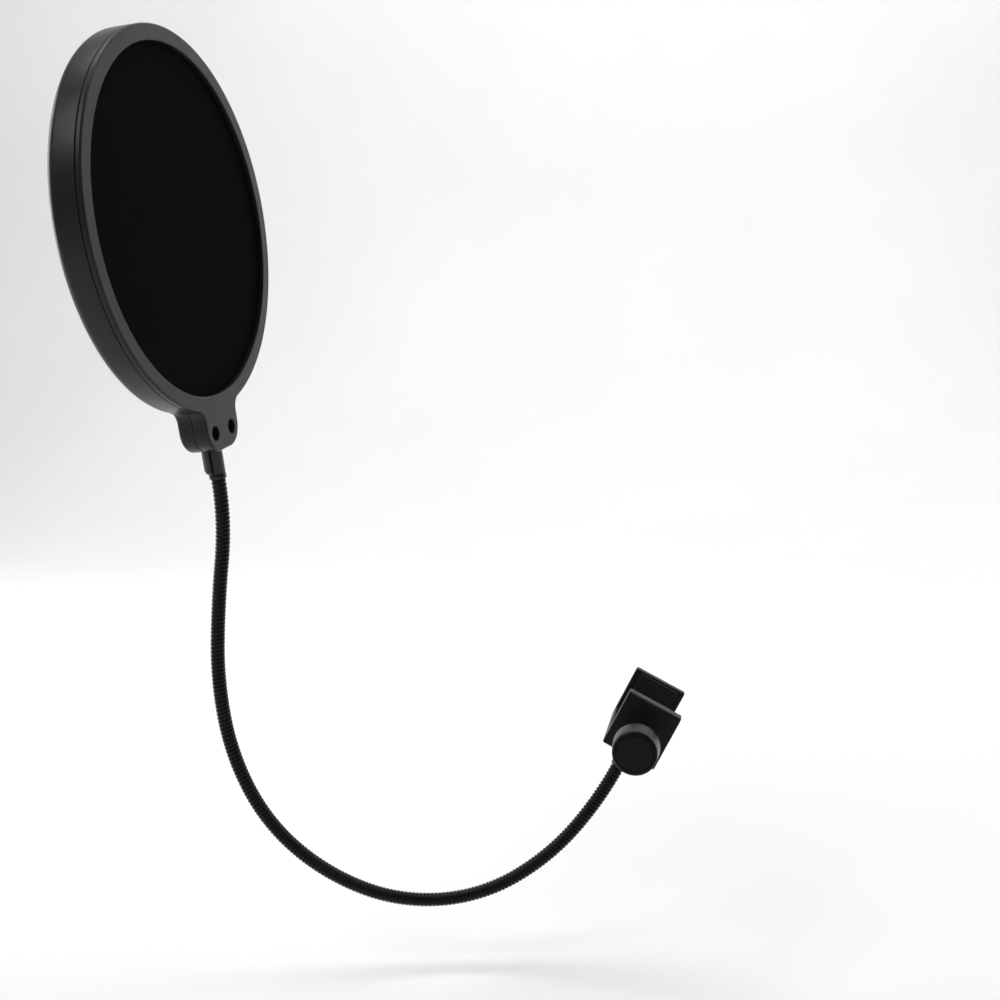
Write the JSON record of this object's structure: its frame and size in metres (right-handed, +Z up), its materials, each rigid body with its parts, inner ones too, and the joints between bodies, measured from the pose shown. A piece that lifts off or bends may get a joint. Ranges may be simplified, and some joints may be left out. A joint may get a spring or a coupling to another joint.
{
  "type": "pop filter",
  "caption": "Round mesh pop filter in a moulded hoop, on a bendable gooseneck with a screw clamp for a microphone boom or stand.",
  "frame": {"origin": "centre of the fixed jaw's rubber face, on the clamp screw's axis", "axes": "+Z up; +Y from the knob towards the fixed jaw, along the clamp screw; +X to the right seen from the knob, away from the screen. The clamp leans 27 degrees towards +X, as on a sloping boom arm."},
  "size_m": [0.2219, 0.1908, 0.3919],
  "materials": {
    "hoop_plastic": "satin moulded black",
    "inner_plastic": "matt moulded black",
    "clamp_plastic": "fine-grained moulded black",
    "knob_plastic": "satin moulded black",
    "nylon_mesh": "fine woven black nylon",
    "neck_black": "semi-gloss black wrapped wire",
    "ferrule_black": "gloss black plating",
    "spring_steel": "oiled spring steel",
    "screw_steel": "zinc plated thread",
    "zinc_steel": "black zinc plated",
    "brass": "turned",
    "rubber": "matt"
  },
  "bodies": {
    "clamp": {"clamp_frame": "clamp_plastic", "jaw_pad": "rubber", "thread_insert": "brass", "neck_set_screw": "zinc_steel", "lower_ferrule": "ferrule_black", "neck_wrap_01": "neck_black", "neck_core_01": "spring_steel"},
    "neck_02": {"neck_wrap_02": "neck_black", "neck_core_02": "spring_steel"},
    "neck_03": {"neck_wrap_03": "neck_black", "neck_core_03": "spring_steel"},
    "neck_04": {"neck_wrap_04": "neck_black", "neck_core_04": "spring_steel"},
    "neck_05": {"neck_wrap_05": "neck_black", "neck_core_05": "spring_steel"},
    "neck_06": {"neck_wrap_06": "neck_black", "neck_core_06": "spring_steel"},
    "neck_07": {"neck_wrap_07": "neck_black", "neck_core_07": "spring_steel"},
    "neck_08": {"neck_wrap_08": "neck_black", "neck_core_08": "spring_steel"},
    "neck_09": {"neck_wrap_09": "neck_black", "neck_core_09": "spring_steel"},
    "head": {"neck_wrap_10": "neck_black", "neck_core_10": "spring_steel", "upper_ferrule": "ferrule_black", "front_hoop": "hoop_plastic", "rear_hoop": "hoop_plastic", "front_mesh": "nylon_mesh", "rear_mesh": "nylon_mesh", "spacer_ring": "inner_plastic", "lug_screws": "zinc_steel"},
    "press": {"pressure_pad": "rubber", "pressure_cup": "zinc_steel", "retaining_clip": "zinc_steel"},
    "screw": {"clamp_screw": "screw_steel", "knob": "knob_plastic", "knob_cap": "knob_plastic"}
  },
  "joints": [
    {"name": "screw_feed", "type": "slide", "parent": "clamp", "child": "press", "axis": [0, 1, 0], "range_m": [-0.0144, 0.0156]},
    {"name": "knob_turn", "type": "hinge", "parent": "press", "child": "screw", "pos_m": [0, -0.0202, 0], "axis": [0, 1, 0], "range_deg": [-5185, 5617]},
    {"name": "neck_bend_1", "type": "hinge", "parent": "clamp", "child": "neck_02", "pos_m": [-0.03182, -0.02056, -0.05357], "axis": [-0.2753, 0.9511, 0.1403], "range_deg": [-25, 25]},
    {"name": "neck_bend_2", "type": "hinge", "parent": "neck_02", "child": "neck_03", "pos_m": [-0.05976, -0.02506, -0.07788], "axis": [-0.4634, -0.2592, 0.8474], "range_deg": [-25, 25]},
    {"name": "neck_bend_3", "type": "hinge", "parent": "neck_03", "child": "neck_04", "pos_m": [-0.09432, -0.03352, -0.0884], "axis": [0.2753, -0.9511, -0.1403], "range_deg": [-25, 25]},
    {"name": "neck_bend_4", "type": "hinge", "parent": "neck_04", "child": "neck_05", "pos_m": [-0.12903, -0.04463, -0.08116], "axis": [-0.4391, 0.0054, -0.8984], "range_deg": [-25, 25]},
    {"name": "neck_bend_5", "type": "hinge", "parent": "neck_05", "child": "neck_06", "pos_m": [-0.1576, -0.05602, -0.06005], "axis": [-0.2753, 0.9511, 0.1403], "range_deg": [-25, 25]},
    {"name": "neck_bend_6", "type": "hinge", "parent": "neck_06", "child": "neck_07", "pos_m": [-0.17677, -0.06605, -0.02967], "axis": [0.8925, 0.1986, 0.405], "range_deg": [-25, 25]},
    {"name": "neck_bend_7", "type": "hinge", "parent": "neck_07", "child": "neck_08", "pos_m": [-0.18535, -0.07378, 0.00588], "axis": [0.2753, -0.9511, -0.1403], "range_deg": [-25, 25]},
    {"name": "neck_bend_8", "type": "hinge", "parent": "neck_08", "child": "neck_09", "pos_m": [-0.18556, -0.0793, 0.04291], "axis": [-0.9574, -0.2845, 0.0493], "range_deg": [-25, 25]},
    {"name": "neck_bend_9", "type": "hinge", "parent": "neck_09", "child": "head", "pos_m": [-0.18105, -0.08345, 0.0799], "axis": [-0.2753, 0.9511, 0.1403], "range_deg": [-25, 25]}
  ],
  "couplings": [
    {"joint": "knob_turn", "follows": "screw_feed", "rad_per_m": 6283.2}
  ]
}
